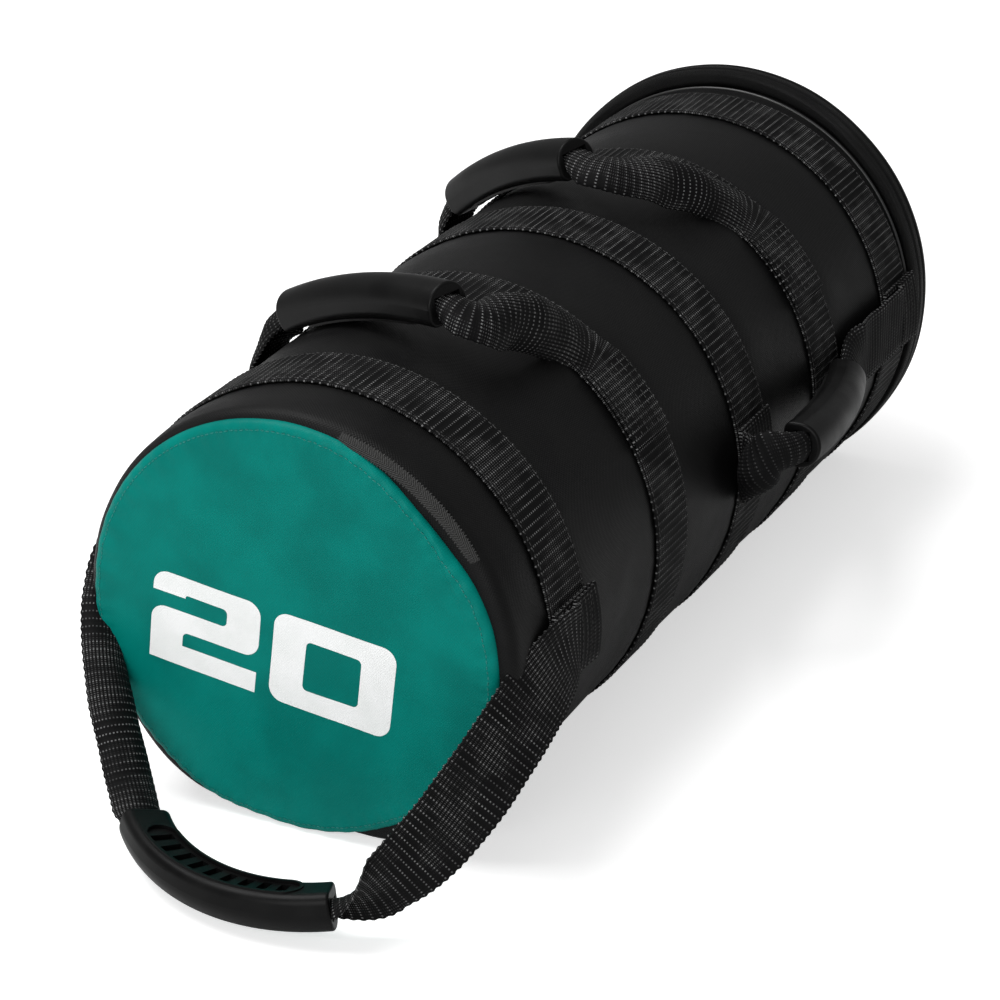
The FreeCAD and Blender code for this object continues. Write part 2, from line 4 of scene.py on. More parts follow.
import bpy
import numpy as np
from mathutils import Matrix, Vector


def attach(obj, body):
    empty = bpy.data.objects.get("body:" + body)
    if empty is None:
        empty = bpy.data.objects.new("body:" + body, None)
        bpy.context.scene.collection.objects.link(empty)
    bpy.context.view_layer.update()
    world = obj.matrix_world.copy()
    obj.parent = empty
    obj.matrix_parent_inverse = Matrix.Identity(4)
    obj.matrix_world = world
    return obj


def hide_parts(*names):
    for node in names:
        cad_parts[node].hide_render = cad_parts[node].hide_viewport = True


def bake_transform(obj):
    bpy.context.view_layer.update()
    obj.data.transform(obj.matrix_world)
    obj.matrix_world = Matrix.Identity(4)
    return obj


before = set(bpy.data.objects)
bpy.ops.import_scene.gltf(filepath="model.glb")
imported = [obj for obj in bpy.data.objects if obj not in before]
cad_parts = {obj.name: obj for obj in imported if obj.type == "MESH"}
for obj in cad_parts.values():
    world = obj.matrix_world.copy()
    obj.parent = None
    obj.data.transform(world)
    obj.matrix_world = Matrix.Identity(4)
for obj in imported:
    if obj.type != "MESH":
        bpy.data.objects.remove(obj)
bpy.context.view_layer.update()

# Studio. The camera stands to the right of the coloured end and looks down on the bag with a
# long lens, as in the photograph. The floor is pale, and two wide lamps light the bag from
# above: the stronger one from the left, the other from the front.
CAMERA_PLACE = Vector((0.740, -1.552, 0.8661))
CAMERA_AIM = Vector((-0.0078, -0.0362, 0.0777))
CAMERA_LENS = 124.3
LAMP_AIM = Vector((0, 0, 0.1))
WORLD_STRENGTH = 0.3
FLOOR_Z = -0.0002
FLOOR_SIZE = 80
FLOOR_TONE = 0.8
FLOOR_GLOW = 0.58


def soft_lamp(name, place, size, power):
    bpy.ops.object.light_add(type="AREA", location=place)
    lamp = bpy.context.object
    lamp.name = name
    lamp.data.size = size
    lamp.data.energy = power
    lamp.rotation_euler = (LAMP_AIM - lamp.location).to_track_quat("-Z", "Y").to_euler()


bpy.ops.object.camera_add(location=CAMERA_PLACE)
camera = bpy.context.object
camera.name = "camera"
camera.data.lens = CAMERA_LENS
camera.rotation_euler = (CAMERA_AIM - CAMERA_PLACE).to_track_quat("-Z", "Y").to_euler()
bpy.context.scene.camera = camera
bpy.context.scene.view_settings.view_transform = "Standard"

soft_lamp("lamp_left", (-0.9, -0.4, 2.4), size=1.7, power=54)
soft_lamp("lamp_front", (0.2, -2.9, 1.3), size=1.8, power=40)

world = bpy.data.worlds.new("studio")
world.use_nodes = True
world.node_tree.nodes["Background"].inputs["Color"].default_value = (1, 1, 1, 1)
world.node_tree.nodes["Background"].inputs["Strength"].default_value = WORLD_STRENGTH
bpy.context.scene.world = world


# Finishes are written as sums. A Wire is one output of a material's nodes, and adding or
# multiplying wires and numbers adds the nodes that do it.
class Wire:
    def __init__(self, tree, socket):
        self.tree = tree
        self.socket = socket

    def node(self, kind, settings, inputs, output=0):
        made = self.tree.nodes.new(kind)
        for name, value in settings.items():
            setattr(made, name, value)
        for place, value in inputs.items():
            if isinstance(value, Wire):
                self.tree.links.new(value.socket, made.inputs[place])
            else:
                made.inputs[place].default_value = value
        return Wire(self.tree, made.outputs[output])

    def maths(self, operation, *terms):
        return self.node("ShaderNodeMath", {"operation": operation}, dict(enumerate(terms)))

    def __add__(self, other):
        return self.maths("ADD", self, other)

    def __sub__(self, other):
        return self.maths("SUBTRACT", self, other)

    def __mul__(self, other):
        return self.maths("MULTIPLY", self, other)

    def __truediv__(self, other):
        return self.maths("DIVIDE", self, other)

    def wave(self, pitch):
        """Runs from 1 to 0 and back once in every pitch."""
        turn = self * (2 * math.pi / pitch)
        return turn.maths("COSINE", turn) * 0.5 + 0.5

    def size(self):
        return self.maths("ABSOLUTE", self)

    def within(self, low, high):
        """0 below low, 1 above high and smooth between them."""
        limits = {"Value": self, "From Min": low, "From Max": high}
        return self.node("ShaderNodeMapRange", {"interpolation_type": "SMOOTHSTEP"}, limits)

    def mix(self, low, high):
        """The colour low where this is 0 and high where it is 1."""
        inputs = {"Factor": self, 6: low, 7: high}
        return self.node("ShaderNodeMix", {"data_type": "RGBA"}, inputs, 2)

    def clouds(self, scale, detail=2.0):
        return self.node("ShaderNodeTexNoise", {}, {"Vector": self, "Scale": scale, "Detail": detail})

    def part(self, letter):
        return self.node("ShaderNodeSeparateXYZ", {}, {0: self}, "XYZ".index(letter))


def finish_named(name, roughness, gloss):
    """A new material, its shader, and wires for the piece's own pattern and its place."""
    material = bpy.data.materials.new(name)
    material.use_nodes = True
    tree = material.node_tree
    places = tree.nodes.new("ShaderNodeTexCoord")
    shader = tree.nodes["Principled BSDF"]
    shader.inputs["Roughness"].default_value = roughness
    shader.inputs["Specular IOR Level"].default_value = gloss
    return material, shader, Wire(tree, places.outputs["UV"]), Wire(tree, places.outputs["Object"])


def feed(shader, socket, wire):
    wire.tree.links.new(wire.socket, shader.inputs[socket])


def emboss(shader, height, depth):
    """Gives a finish its fine relief: height runs from 0 to 1, and depth is in metres."""
    inputs = {"Height": height, "Distance": depth, "Strength": 1}
    feed(shader, "Normal", height.node("ShaderNodeBump", {}, inputs))


def crossed_threads(across, up, pitch):
    """The fine diagonal grain that a base cloth leaves in its coating."""
    return (across + up).wave(pitch) * 0.5 + (across - up).wave(pitch) * 0.5


def grey(tone):
    return tone, tone, tone, 1


floor_finish, floor_shader, _, floor_place = finish_named("pale_floor", 0.9, 0.2)
floor_shader.inputs["Base Color"].default_value = grey(FLOOR_TONE)
seen = floor_place.node("ShaderNodeLightPath", {}, {}, "Is Camera Ray")
feed(floor_shader, "Emission Color", seen.mix(grey(0), grey(FLOOR_GLOW)))
floor_shader.inputs["Emission Strength"].default_value = 1
bpy.ops.mesh.primitive_plane_add(size=FLOOR_SIZE, location=(0, 0, FLOOR_Z))
floor = bpy.context.object
floor.name = "floor"
floor.data.materials.append(floor_finish)

# Shell. A tube of black coated fabric, sewn from one flat piece that goes once round the
# filling. It lies on the floor on a flat strip, is drawn in a little by the rings and swells
# between them, and turns over a soft corner at the coloured end.
SHELL_RADIUS = 0.1175
CORNER_RADIUS = 0.0625
HALF_FLAT = 0.038
CORNER_CENTRE_Z = 0.0647
AXIS_Z = 0.10446
TOP_TURN = math.pi / 2 + math.atan2(AXIS_Z - CORNER_CENTRE_Z, HALF_FLAT)
TOP_WAY = SHELL_RADIUS * TOP_TURN
HALF_WAY = TOP_WAY + CORNER_RADIUS * (math.pi - TOP_TURN) + HALF_FLAT
JUST_OFF_FLOOR = 0.0001
RING_PLACES = (-0.2175, -0.0952, 0.0125, 0.118, 0.2285)
WEBBING_WIDTH = 0.038
NEAR_END = -0.266
FAR_END = 0.2665
NEAR_CORNER = 0.0065
HEM = 0.016
HEM_WAVES = 0.0005
SHELL_WALL = 0.0016
SHELL_COLUMNS = 250
SHELL_ROWS = 196
SWELL = 0.0009
SWELL_REACH = 0.007
SWELL_START = 0.01
DENTS = 0.0007
DENTS_START = 0.012
GATHERS = 0.00016
GATHERS_ROUND = 56
GATHERS_REACH = 0.004
TOP_LEAN = 0.0055
RIGHT_LEAN = 0.0042
LEAN_START = 0.248
VINYL_TONES = ((0.0035, 0.0035, 0.0037, 1), grey(0.006))
VINYL_THREAD_MM = 1.7
VINYL_RELIEF = 0.00012


def on_bag(way, along, out):
    """Where cloth lies that has gone the distance way round the bag from its top."""
    side = np.sign(way)
    far = np.abs(way)
    turn = np.where(far < TOP_WAY, far / SHELL_RADIUS, TOP_TURN + (far - TOP_WAY) / CORNER_RADIUS)
    turn = np.minimum(turn, math.pi)
    on_top = far < TOP_WAY
    centre_x = np.where(on_top, 0, np.minimum(HALF_FLAT, HALF_WAY - far))
    centre_z = np.where(on_top, AXIS_Z, CORNER_CENTRE_Z)
    radius = np.where(on_top, SHELL_RADIUS, CORNER_RADIUS) + out
    z = np.maximum(centre_z + radius * np.cos(turn), JUST_OFF_FLOOR)
    return side * (centre_x + radius * np.sin(turn)), along, z


def flat_cloth(name, length, width, columns, rows):
    """A flat cut of cloth with its length on X and width on Y, and a UV map in millimetres."""
    bpy.ops.object.select_all(action="DESELECT")
    bpy.ops.mesh.primitive_grid_add(x_subdivisions=columns, y_subdivisions=rows, size=1)
    cloth = bpy.context.object
    cloth.name = name
    cloth.scale = (length, width, 1)
    bpy.ops.object.transform_apply(location=False, rotation=False, scale=True)
    pattern = cloth.data.uv_layers[0]
    spots = np.empty(2 * len(cloth.data.loops))
    pattern.data.foreach_get("uv", spots)
    spots = spots.reshape(-1, 2) * (length * 1000, width * 1000)
    pattern.data.foreach_set("uv", spots.ravel())
    return cloth


def lay(piece, place):
    """Moves each point of a piece from where it is to where place puts it."""
    points = np.empty(3 * len(piece.data.vertices))
    piece.data.vertices.foreach_get("co", points)
    moved = place(*points.reshape(-1, 3).T)
    piece.data.vertices.foreach_set("co", np.column_stack(moved).ravel())
    piece.data.update()


def sew(piece, fill_ends=False, smooth_angle=40):
    """Joins a piece's edges where they meet, and closes its ends."""
    bpy.ops.object.select_all(action="DESELECT")
    bpy.context.view_layer.objects.active = piece
    piece.select_set(True)
    bpy.ops.object.mode_set(mode="EDIT")
    bpy.ops.mesh.select_all(action="SELECT")
    bpy.ops.mesh.remove_doubles(threshold=0.00001)
    if fill_ends:
        bpy.ops.mesh.fill_holes(sides=0)
    bpy.ops.mesh.normals_make_consistent(inside=False)
    bpy.ops.object.mode_set(mode="OBJECT")
    bpy.ops.object.shade_smooth_by_angle(angle=math.radians(smooth_angle))


def done(piece, finish, slot, body, *nodes):
    """Gives a finished piece its material, hides the CAD parts it takes the place of, and hangs it on its
    body if it has one.
    """
    piece.data.materials.clear()
    piece.data.materials.append(finish)
    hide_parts(*nodes)
    if body:
        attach(piece, body)


def hump(value, middle, reach):
    """1 at the middle, fading out on both sides of it over about twice the reach."""
    return np.exp(-((value - middle) / reach) ** 2)


def ripple(way, along, scale, seed):
    """Soft waves in both directions that never repeat in step, between -1 and 1."""
    turn = way * math.pi / HALF_WAY
    a = np.sin(turn * round(7 * scale) + seed) * np.cos(along * 47 * scale - 1.7 * seed)
    b = np.sin(turn * round(3 * scale) - along * 71 * scale + 2.3 * seed)
    c = np.cos(turn * round(11 * scale) + along * 31 * scale + 3.1 * seed)
    return (a + b + 0.6 * c) / 2.6


def ring_edge_distance(along):
    """How far a place along the bag is from the nearest ring's edge; below 0 under a ring."""
    return np.min([np.abs(along - place) - WEBBING_WIDTH / 2 for place in RING_PLACES], axis=0)


def swell(way, along):
    """How far the shell stands out between the rings."""
    free = np.clip(ring_edge_distance(along), 0, None)
    rise = SWELL * (1 - np.exp(-free / SWELL_REACH))
    dents = DENTS * ripple(way, along, 1.0, 0.4) * np.clip(free / DENTS_START, 0, 1)
    turn = way * math.pi / HALF_WAY
    gathers = np.sin(GATHERS_ROUND * turn + 3 * np.sin(2 * turn)) * np.exp(-free / GATHERS_REACH)
    return rise + dents + GATHERS * gathers * (free > 0)


def far_lean(x, z):
    """The far end isn't quite square: its top leans out and its right side is pulled in."""
    return TOP_LEAN * (z - AXIS_Z) / SHELL_RADIUS - RIGHT_LEAN * x / SHELL_RADIUS


near_arc = NEAR_CORNER * math.pi / 2
shell_length = FAR_END - NEAR_END + near_arc + HEM
shell = flat_cloth("cover", 2 * HALF_WAY, shell_length, SHELL_COLUMNS, SHELL_ROWS)


def lay_shell(x, y, z):
    run = y + shell_length / 2 - HEM
    straight = run - near_arc
    turn = np.clip((near_arc - run) / NEAR_CORNER, 0, math.pi / 2)
    along = NEAR_END + np.maximum(straight, 0) - NEAR_CORNER * np.sin(turn)
    out = -NEAR_CORNER * (1 - np.cos(turn)) + np.minimum(run, 0)
    out = out + swell(x, along) * np.clip(straight / SWELL_START, 0, 1)
    waves = HEM_WAVES * ripple(x, along, 2.1, 1.9) * (straight < 0)
    across, _, up = on_bag(x, along, out)
    lean = far_lean(across, up) * np.clip((along - LEAN_START) / (FAR_END - LEAN_START), 0, 1)
    return across, along + waves + lean, up


lay(shell, lay_shell)
sew(shell)
shell.modifiers.new("wall", "SOLIDIFY").thickness = SHELL_WALL
shell.modifiers["wall"].offset = -1
bpy.ops.object.modifier_apply(modifier="wall")

vinyl_black, vinyl_shader, vinyl_pattern, vinyl_place = finish_named("vinyl_black", 0.5, 0.12)
vinyl_grain = crossed_threads(vinyl_pattern.part("X"), vinyl_pattern.part("Y"), VINYL_THREAD_MM)
vinyl_mottle = vinyl_place.clouds(38, 4.0)
emboss(vinyl_shader, vinyl_grain + vinyl_mottle * 0.8, VINYL_RELIEF)
feed(vinyl_shader, "Base Color", vinyl_mottle.within(0.3, 0.7).mix(*VINYL_TONES))
feed(vinyl_shader, "Roughness", vinyl_mottle.within(0.25, 0.75) * 0.1 + 0.42)
done(shell, vinyl_black, "vinyl_black", "bag", "shell")

# Rings. Heavy black webbing, 38 mm wide, woven with ribs across its width that end in a small
# bump at each edge. Five lengths go once round the shell and are sewn to it.
WEBBING_THICKNESS = 0.0022
RING_RIB_PITCH = 0.0043
RING_LIFT = 0.0001
RING_WANDER = 0.0004
COLUMNS_PER_RIB = 6
RIB_UNITS = 5.0
RIB_DEPTH = 0.22
EDGE_BUMP = 0.0007
ACROSS = (-1, -0.99, -0.95, -0.82, -0.6, -0.3, 0, 0.3, 0.6, 0.82, 0.95, 0.99, 1)
RISE = (0, 0.6, 0.9, 1, 1, 1, 1, 1, 1, 1, 0.9, 0.6, 0)
# The first tone is the webbing's black, and the second is the painted highlight on its crests.
WEBBING_AND_HIGHLIGHT_TONES = ((0.003, 0.003, 0.0032, 1), grey(0.2))
WEBBING_RELIEF = 0.00035
EDGE_STARTS_MM = 14.5
EDGE_FULL_MM = 16.5
# How much painted highlight the plain side of the webbing shows in its middle.
MIDDLE_HIGHLIGHT_OF_PLAIN_SIDE = 0.22


def webbing(name, length, pitch, place, ribbed_back=True, closed=False, width=WEBBING_WIDTH):
    """A length of webbing, woven flat and then laid by place, which gets each point's distance
    along the strap, across it and out from its middle."""
    ribs = max(3, round(length / pitch))
    rows = 2 * len(ACROSS) - 2
    strap = flat_cloth(name, length, 1, COLUMNS_PER_RIB * ribs, rows)
    pattern = strap.data.uv_layers[0]
    spots = np.empty(2 * len(strap.data.loops))
    pattern.data.foreach_get("uv", spots)
    spots = spots.reshape(-1, 2)
    row = np.rint(spots[:, 1] / 1000 * rows).astype(int)
    loop_across = np.array(ACROSS + ACROSS[-2::-1])
    loop_rise = np.array(RISE + tuple(-rise for rise in RISE[-2::-1]))
    spots[:, 0] *= ribs * RIB_UNITS / (length * 1000)
    spots[:, 1] = loop_across[row] * width / 2 * 1000
    pattern.data.foreach_set("uv", spots.ravel())

    def weave(x, y, z):
        way = x + length / 2
        row = np.rint((y + 0.5) * rows).astype(int)
        rib = 0.5 + 0.5 * np.cos(2 * math.pi * way / length * ribs)
        across = loop_across[row]
        rise = loop_rise[row]
        at_edge = np.abs(across) > 0.9
        if not ribbed_back:
            rib = np.where(rise < 0, 0, rib)
        out = rise * (1 - RIB_DEPTH + RIB_DEPTH * rib) * WEBBING_THICKNESS / 2
        sideways = across * width / 2 + np.sign(across) * at_edge * (rib - 0.5) * EDGE_BUMP
        return place(way, sideways, out)

    lay(strap, weave)
    sew(strap, fill_ends=not closed, smooth_angle=55)
    return strap


def woven_finish(name, middle_highlight):
    """Black webbing whose base colour carries painted highlights on the crests of its ribs and yarns;
    the second argument says how much of that painted highlight shows between the edges."""
    finish, shader, pattern, place = finish_named(name, 0.7, 0.1)
    # Crests of the ribs, finer picks and yarn rows across the width: this pattern gives the weave's relief
    # and also places painted highlights in its colour.
    rib_crests = pattern.part("X").wave(RIB_UNITS).within(0.82, 1.0)
    pick_crests = pattern.part("X").wave(RIB_UNITS / 4).within(0.5, 1.0)
    yarn_rows = pattern.part("Y").wave(1.9).within(0.4, 0.8)
    dots = (rib_crests + pick_crests * place.clouds(45).within(0.4, 0.6) * 0.7) * yarn_rows
    # Painted highlight: the base colour is made lighter on the crests, more in some patches than in others.
    painted_highlight = dots * (place.clouds(70, 3.0).within(0.3, 0.7) * 0.8 + 0.25)
    if middle_highlight < 1:
        edges = pattern.part("Y").size().within(EDGE_STARTS_MM, EDGE_FULL_MM)
        painted_highlight = painted_highlight * (edges * (1 - middle_highlight) + middle_highlight)
    feed(shader, "Base Color", painted_highlight.mix(*WEBBING_AND_HIGHLIGHT_TONES))
    emboss(shader, dots * 0.8 + place.clouds(900, 3.0) * 0.25, WEBBING_RELIEF)
    return finish


def ring_line(way, ring_place):
    """The middle of a ring, which wanders a little along the bag on its way round."""
    return ring_place + RING_WANDER * np.sin(way * 5 * math.pi / HALF_WAY + ring_place * 90)


webbing_black = woven_finish("webbing", 1)
webbing_plain = woven_finish("webbing_plain_side", MIDDLE_HIGHLIGHT_OF_PLAIN_SIDE)

for number, ring_place in enumerate(RING_PLACES, start=1):
    ring = webbing(
        "ring_%d" % number, 2 * HALF_WAY, RING_RIB_PITCH,
        lambda way, across, out: on_bag(
            way - HALF_WAY, ring_line(way, ring_place) + across, out + WEBBING_THICKNESS / 2 + RING_LIFT),
        ribbed_back=False, closed=True)
    done(ring, webbing_black, "webbing", "bag", "band_%d" % number)

# Sewing. Lock stitches in dark grey thread, each a short bead that sinks into the cloth. One
# stitch is repeated along a straight row, and the row is then laid where it holds something.
STITCH_PITCH = 0.0031
STITCH_SIZE = (STITCH_PITCH * 0.78, 0.0006, 0.0005)
RING_SEAM = 0.0168
RING_STITCH_LIFT = 0.0022
THREAD_TONES = (grey(0.02), grey(0.075))


def stitch_rows(name, rows, place, finish):
    """Rows of stitches as one piece. Each row gives its length, and place gets the distance
    along it, the distance across it, the height and the row's number."""
    parts = []
    for number, length in enumerate(rows):
        bpy.ops.object.select_all(action="DESELECT")
        bpy.ops.mesh.primitive_uv_sphere_add(segments=6, ring_count=4, radius=0.5)
        row = bpy.context.object
        row.scale = STITCH_SIZE
        bpy.ops.object.transform_apply(location=False, rotation=False, scale=True)
        repeat = row.modifiers.new("repeat", "ARRAY")
        repeat.count = max(2, round(length / STITCH_PITCH))
        repeat.use_relative_offset = False
        repeat.use_constant_offset = True
        repeat.constant_offset_displace = (length / repeat.count, 0, 0)
        bpy.ops.object.modifier_apply(modifier="repeat")
        lay(row, lambda x, y, z: place(x, y, z, number))
        parts.append(row)
    bpy.ops.object.select_all(action="DESELECT")
    for row in parts:
        row.select_set(True)
    bpy.context.view_layer.objects.active = parts[0]
    if len(parts) > 1:
        bpy.ops.object.join()
    sewing = bpy.context.object
    sewing.name = name
    bpy.ops.object.shade_smooth()
    sewing.data.materials.append(finish)
    return sewing


thread_grey, thread_shader, _, thread_place = finish_named("thread_grey", 0.7, 0.1)
feed(thread_shader, "Base Color", thread_place.clouds(300).mix(*THREAD_TONES))
for number, ring_place in enumerate(RING_PLACES, start=1):
    sewing = stitch_rows(
        "ring_%d_stitches" % number, (2 * HALF_WAY, 2 * HALF_WAY),
        lambda x, y, z, row: on_bag(
            x - HALF_WAY, ring_line(x, ring_place) + (2 * row - 1) * RING_SEAM + y, z + RING_STITCH_LIFT),
        thread_grey)
    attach(sewing, "bag")

# Coloured end. A teal disc of coated fabric over a thick foam pad, sewn in all round, so that
# it is flat in the middle, falls away to its seam and puckers there.
END_COLUMNS = 288
END_ROWS = 72
FACE_ROWS = 56
RIM_ROWS = 10
RIM_ROUND = 0.85
CROWN = 0.0007
SLACK = 0.00035
SEAM_INSET = 0.004
SEAM_REACH = 0.0055
PUCKERS_ROUND = 70
COLOURED_RADIUS = 0.1109
COLOURED_SHIFT = 0.0022
LOW_PRESS = 0.0046
UPPER_PULL = 0.0058
COLOURED_FACE_Y = -0.2773
COLOURED_WALL_Y = -0.2717
CREASE = 0.0015
CREASE_LINE = 0.0985
SAG = 0.0008
SAG_LINE = 0.104
TEAL_TONES = ((0.0, 0.155, 0.13, 1), (0.0, 0.2, 0.168, 1))
TEAL_THREAD_MM = 1.6
TEAL_RELIEF = 0.00006


def eased(share):
    """Goes smoothly from 0 to 1 as the share does."""
    share = np.clip(share, 0, 1)
    return share * share * (3 - 2 * share)


def coloured_outline(way):
    """The coloured end's edge: round, pressed in below, pulled in at the upper right, and a
    little off centre."""
    turn = way / HALF_WAY * math.pi
    degrees = np.degrees(turn)
    press = np.maximum(eased((degrees - 110) / 45), eased((-degrees - 145) / 30))
    size = COLOURED_RADIUS - LOW_PRESS * press - UPPER_PULL * hump(degrees, 46, 19)
    return size * np.sin(turn) - COLOURED_SHIFT, size * np.cos(turn) + COLOURED_SHIFT


def plain_outline(way):
    x, _, z = on_bag(way, 0, -0.0018)
    return x, z - AXIS_Z


def padded_disc(name, outline, face_y, depth, fall, puckers):
    """A crowned pad with the given outline. Its face is at face_y and it goes back by depth,
    towards the middle of the bag."""
    back = 1 if face_y < 0 else -1
    pad = flat_cloth(name, 2 * HALF_WAY, 1, END_COLUMNS, END_ROWS)

    def crown(x, y, z):
        step = (y + 0.5) * END_ROWS
        inward = np.clip(step / FACE_ROWS, 0, 1)
        round_rim = np.clip((step - FACE_ROWS) / RIM_ROWS, 0, 1) * math.pi / 2
        wall = np.clip((step - FACE_ROWS - RIM_ROWS) / (END_ROWS - FACE_ROWS - RIM_ROWS), 0, 1)
        edge_x, edge_z = outline(x)
        size = np.hypot(edge_x, edge_z)
        reach = (size - fall) * inward + fall * np.sin(round_rim)
        rim_depth = fall * RIM_ROUND
        depth_in = rim_depth * (1 - np.cos(round_rim)) + (depth - rim_depth) * wall
        depth_in = depth_in + CROWN * inward ** 2
        depth_in = depth_in + SLACK * ripple(edge_x * inward, edge_z * inward, 1.6, 0.9)
        sewn = hump(reach, size - SEAM_INSET, SEAM_REACH)
        turn = x * math.pi / HALF_WAY
        gather = np.sin(PUCKERS_ROUND * turn + 4 * np.sin(3 * turn) + 2 * np.sin(7 * turn))
        depth_in = depth_in + puckers * sewn * (0.3 + gather) * (1 - wall)
        share = reach / size
        along = face_y + back * depth_in
        if back < 0:
            along = along + far_lean(edge_x * share, AXIS_Z + edge_z * share)
        return edge_x * share, along, AXIS_Z + edge_z * share

    lay(pad, crown)
    sew(pad, fill_ends=True)
    return pad


def crease(x, y, z):
    """A fold that runs along the seam at the upper right, and a small sag at the left."""
    turn = np.arctan2(x, z - AXIS_Z)
    degrees = np.degrees(turn)
    reach = np.hypot(x, z - AXIS_Z)
    line = CREASE_LINE - 0.003 * np.sin(turn * 7)
    fold = hump(degrees, 55, 13) * (hump(reach, line, 0.0022) - 0.7 * hump(reach, line + 0.004, 0.0025))
    sag = hump(degrees, -62, 6) * hump(reach, SAG_LINE, 0.009)
    return x, np.where(y < COLOURED_WALL_Y, y + CREASE * fold + SAG * sag, y), z


near_panel = padded_disc("coloured_end", coloured_outline, COLOURED_FACE_Y, 0.0058, 0.0052, 0.00045)
lay(near_panel, crease)

vinyl_teal, teal_shader, _, teal_place = finish_named("vinyl_teal", 0.42, 0.06)
teal_grain = crossed_threads(teal_place.part("X") * 1000, teal_place.part("Z") * 1000, TEAL_THREAD_MM)
teal_mottle = teal_place.clouds(30, 3.0)
emboss(teal_shader, teal_grain + teal_mottle * 0.6, TEAL_RELIEF)
feed(teal_shader, "Base Color", teal_mottle.within(0.3, 0.7).mix(*TEAL_TONES))
done(near_panel, vinyl_teal, "vinyl_teal", "bag", "near_panel")

# Marking. The numerals 2 and 0 in wide square strokes with rounded corners, printed in white
# on the coloured end, a little turned as on the real bag.
MARK_CENTRE = (-0.0115, AXIS_Z - 0.0084)
MARK_TURN = math.radians(6.8)
MARK_HEIGHT = 0.049
LOW = -MARK_HEIGHT / 2
HIGH = MARK_HEIGHT / 2
BAR = 0.0112
POST = 0.0182
GAP = (MARK_HEIGHT - 3 * BAR) / 2
STEP = 0.0018
OUTER_ROUND = 0.0078
INNER_ROUND = 0.0027
STEP_ROUND = 0.0012
ROUND_STEPS = 8
TWO_LEFT = -0.0675
TWO_RIGHT = -0.0075
ZERO_RIGHT = 0.0665
IN_FRONT_Y = -0.285
PRINT_THICKNESS = 0.00012
PRINT_TONES = ((0.86, 0.88, 0.87, 1), (0.93, 0.94, 0.94, 1))
TWO_OUTLINE = [
    (TWO_LEFT, LOW, 0),
    (TWO_RIGHT, LOW, 0),
    (TWO_RIGHT, LOW + BAR, 0),
    (TWO_LEFT + POST, LOW + BAR, 0),
    (TWO_LEFT + POST, LOW + BAR + GAP, INNER_ROUND),
    (TWO_RIGHT, LOW + BAR + GAP, OUTER_ROUND),
    (TWO_RIGHT, HIGH, OUTER_ROUND),
    (TWO_LEFT, HIGH, OUTER_ROUND),
    (TWO_LEFT, HIGH - BAR, 0),
    (TWO_LEFT + POST, HIGH - BAR, 0),
    (TWO_LEFT + POST, HIGH - BAR + STEP, STEP_ROUND),
    (TWO_RIGHT - POST, HIGH - BAR + STEP, INNER_ROUND),
    (TWO_RIGHT - POST, LOW + 2 * BAR + GAP, INNER_ROUND),
    (TWO_LEFT, LOW + 2 * BAR + GAP, OUTER_ROUND),
]
ZERO_OUTLINE = [
    (0, LOW, OUTER_ROUND),
    (ZERO_RIGHT, LOW, OUTER_ROUND),
    (ZERO_RIGHT, HIGH, OUTER_ROUND),
    (0, HIGH, OUTER_ROUND),
]
ZERO_HOLE = [
    (POST, LOW + BAR, INNER_ROUND),
    (ZERO_RIGHT - POST, LOW + BAR, INNER_ROUND),
    (ZERO_RIGHT - POST, HIGH - BAR, INNER_ROUND),
    (POST, HIGH - BAR, INNER_ROUND),
]


def rounded_outline(corners):
    """Points round a shape from its corners, each with the radius that rounds it."""
    points = []
    for before, here, after in zip(corners[-1:] + corners, corners, corners[1:] + corners[:1]):
        corner = Vector(here[:2])
        radius = here[2]
        back = (Vector(before[:2]) - corner).normalized()
        ahead = (Vector(after[:2]) - corner).normalized()
        for step in range(ROUND_STEPS + 1 if radius else 1):
            turn = step / ROUND_STEPS * math.pi / 2
            points.append(corner + radius * (back * (1 - math.sin(turn)) + ahead * (1 - math.cos(turn))))
    return points


def numeral(name, outlines):
    """A flat numeral filled between its outlines."""
    bpy.ops.object.select_all(action="DESELECT")
    bpy.ops.curve.primitive_bezier_circle_add()
    mark = bpy.context.object
    mark.name = name
    mark.data.dimensions = "2D"
    mark.data.fill_mode = "FRONT"
    mark.data.splines.clear()
    for corners in outlines:
        points = rounded_outline(corners)
        line = mark.data.splines.new("POLY")
        line.points.add(len(points) - 1)
        for place, point in zip(line.points, points):
            place.co = (point.x, point.y, 0, 1)
        line.use_cyclic_u = True
    bpy.ops.object.convert(target="MESH")
    bpy.ops.object.mode_set(mode="EDIT")
    bpy.ops.mesh.select_all(action="SELECT")
    bpy.ops.mesh.remove_doubles(threshold=0.00001)
    bpy.ops.mesh.subdivide(number_cuts=4)
    bpy.ops.object.mode_set(mode="OBJECT")
    return mark


def turn_marking(x, y, z):
    """Stands a numeral up in front of the panel, with its turn."""
    across = x * math.cos(MARK_TURN) + y * math.sin(MARK_TURN)
    up = y * math.cos(MARK_TURN) - x * math.sin(MARK_TURN)
    return MARK_CENTRE[0] + across, np.full_like(x, IN_FRONT_Y), MARK_CENTRE[1] + up


def press_on_panel(piece, offset):
    """Moves a piece that stands in front of the coloured end back on to its face."""
    press = piece.modifiers.new("press", "SHRINKWRAP")
    press.target = near_panel
    press.wrap_method = "PROJECT"
    press.use_project_x = False
    press.use_project_y = True
    press.use_project_z = False
    press.use_negative_direction = True
    press.use_positive_direction = True
    press.offset = offset
    bpy.ops.object.modifier_apply(modifier="press")


